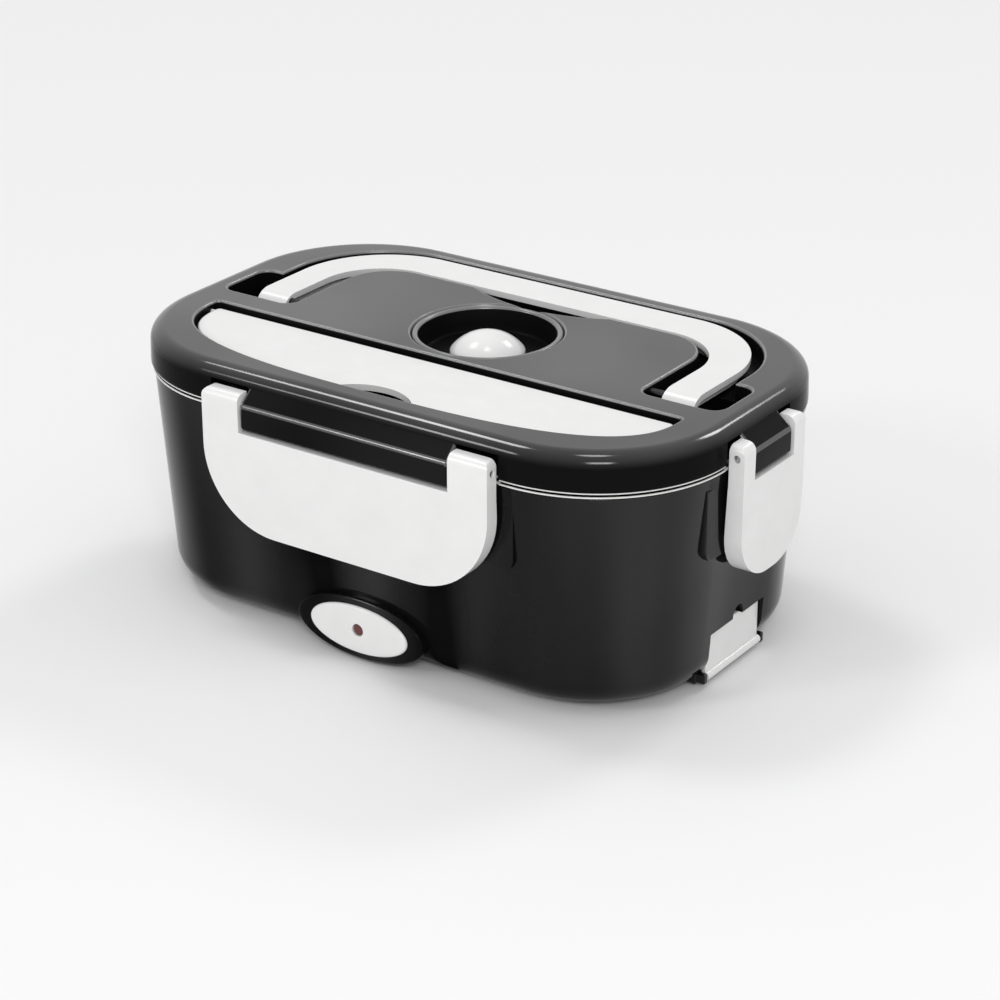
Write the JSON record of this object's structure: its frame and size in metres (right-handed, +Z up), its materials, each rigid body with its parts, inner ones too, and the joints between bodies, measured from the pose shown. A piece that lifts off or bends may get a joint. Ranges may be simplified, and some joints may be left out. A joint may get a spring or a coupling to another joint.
{
  "type": "electric lunch box",
  "caption": "Portable electric lunch box with a lift-off lid, clip latches, folding carry handle, spoon compartment, vent plug, food tray and heated base.",
  "frame": {"origin": "middle of the footprint at the floor, under the feet", "axes": "+X along the length towards the power inlet, +Y towards the back, +Z up; the indicator faces -Y"},
  "size_m": [0.235, 0.151, 0.095],
  "materials": {
    "black_plastic": "glossy",
    "white_plastic": "glossy",
    "steel_liner": "satin",
    "heater_aluminium": "satin",
    "ceramic": "matte",
    "dark_plastic": "matte",
    "rubber": "matte",
    "silicone_white": "satin",
    "pin_steel": "satin",
    "lens_red": "glossy",
    "board_green": "satin",
    "lead_red": "matte",
    "box_plastic": "satin"
  },
  "bodies": {
    "base": {"outer_shell": "black_plastic", "inner_liner": "steel_liner", "heater_plate": "heater_aluminium", "ptc_heater": "ceramic", "clamp_bar": "heater_aluminium", "thermostat": "dark_plastic", "thermal_fuse": "ceramic", "heater_leads": "lead_red", "bottom_cover": "dark_plastic", "bottom_screws": "pin_steel", "feet": "rubber", "indicator_plate": "white_plastic", "indicator_lens": "lens_red", "lamp_board": "board_green", "inlet_housing": "dark_plastic", "inlet_pins": "pin_steel", "flap_pin": "pin_steel"},
    "flap": {"socket_flap": "white_plastic"},
    "tray": {"food_tray": "steel_liner"},
    "side_box": {"small_box": "box_plastic"},
    "side_box_lid": {"small_box_lid": "box_plastic"},
    "lid": {"lid_shell": "black_plastic", "lid_inner": "steel_liner", "seal_ring": "silicone_white", "spoon": "steel_liner", "pins_front": "pin_steel", "pins_back": "pin_steel", "pins_left": "pin_steel", "pins_right": "pin_steel", "handle_pins": "pin_steel"},
    "vent_plug": {"vent_plug": "white_plastic"},
    "spoon_cover": {"spoon_cover": "white_plastic"},
    "handle": {"handle": "white_plastic"},
    "latch_front": {"latch_front": "white_plastic"},
    "latch_back": {"latch_back": "white_plastic"},
    "latch_left": {"latch_left": "white_plastic"},
    "latch_right": {"latch_right": "white_plastic"}
  },
  "joints": [
    {"name": "lid_lift", "type": "slide", "parent": "base", "child": "lid", "axis": [0, 0, 1], "range_m": [0, 0.24]},
    {"name": "tray_lift", "type": "slide", "parent": "base", "child": "tray", "axis": [0, 0, 1], "range_m": [0, 0.06]},
    {"name": "side_box_lift", "type": "slide", "parent": "tray", "child": "side_box", "axis": [0, 0, 1], "range_m": [0, 0.0504]},
    {"name": "side_box_lid_lift", "type": "slide", "parent": "side_box", "child": "side_box_lid", "axis": [0, 0, 1], "range_m": [0, 0.0192]},
    {"name": "latch_front_hinge", "type": "hinge", "parent": "lid", "child": "latch_front", "pos_m": [0, -0.0726, 0.085], "axis": [-1, 0, 0], "range_deg": [0, 110]},
    {"name": "latch_back_hinge", "type": "hinge", "parent": "lid", "child": "latch_back", "pos_m": [0, 0.0726, 0.085], "axis": [1, 0, 0], "range_deg": [0, 110]},
    {"name": "latch_right_hinge", "type": "hinge", "parent": "lid", "child": "latch_right", "pos_m": [0.1146, 0, 0.085], "axis": [0, -1, 0], "range_deg": [0, 110]},
    {"name": "latch_left_hinge", "type": "hinge", "parent": "lid", "child": "latch_left", "pos_m": [-0.1146, 0, 0.085], "axis": [0, 1, 0], "range_deg": [0, 110]},
    {"name": "handle_hinge", "type": "hinge", "parent": "lid", "child": "handle", "pos_m": [0, -0.0016, 0.092], "axis": [1, 0, 0], "range_deg": [0, 90]},
    {"name": "spoon_cover_hinge", "type": "hinge", "parent": "lid", "child": "spoon_cover", "pos_m": [0, -0.0244, 0.092], "axis": [-1, 0, 0], "range_deg": [0, 100]},
    {"name": "vent_plug_pull", "type": "slide", "parent": "lid", "child": "vent_plug", "axis": [0, 0, 1], "range_m": [0, 0.006]},
    {"name": "flap_hinge", "type": "hinge", "parent": "base", "child": "flap", "pos_m": [0.1042, 0, 0.0036], "axis": [0, 1, 0], "range_deg": [0, 85]}
  ],
  "couplings": [
    {"joint": "tray_lift", "follows": "lid_lift", "ratio": 0.25},
    {"joint": "side_box_lift", "follows": "lid_lift", "ratio": 0.21},
    {"joint": "side_box_lid_lift", "follows": "lid_lift", "ratio": 0.08}
  ]
}
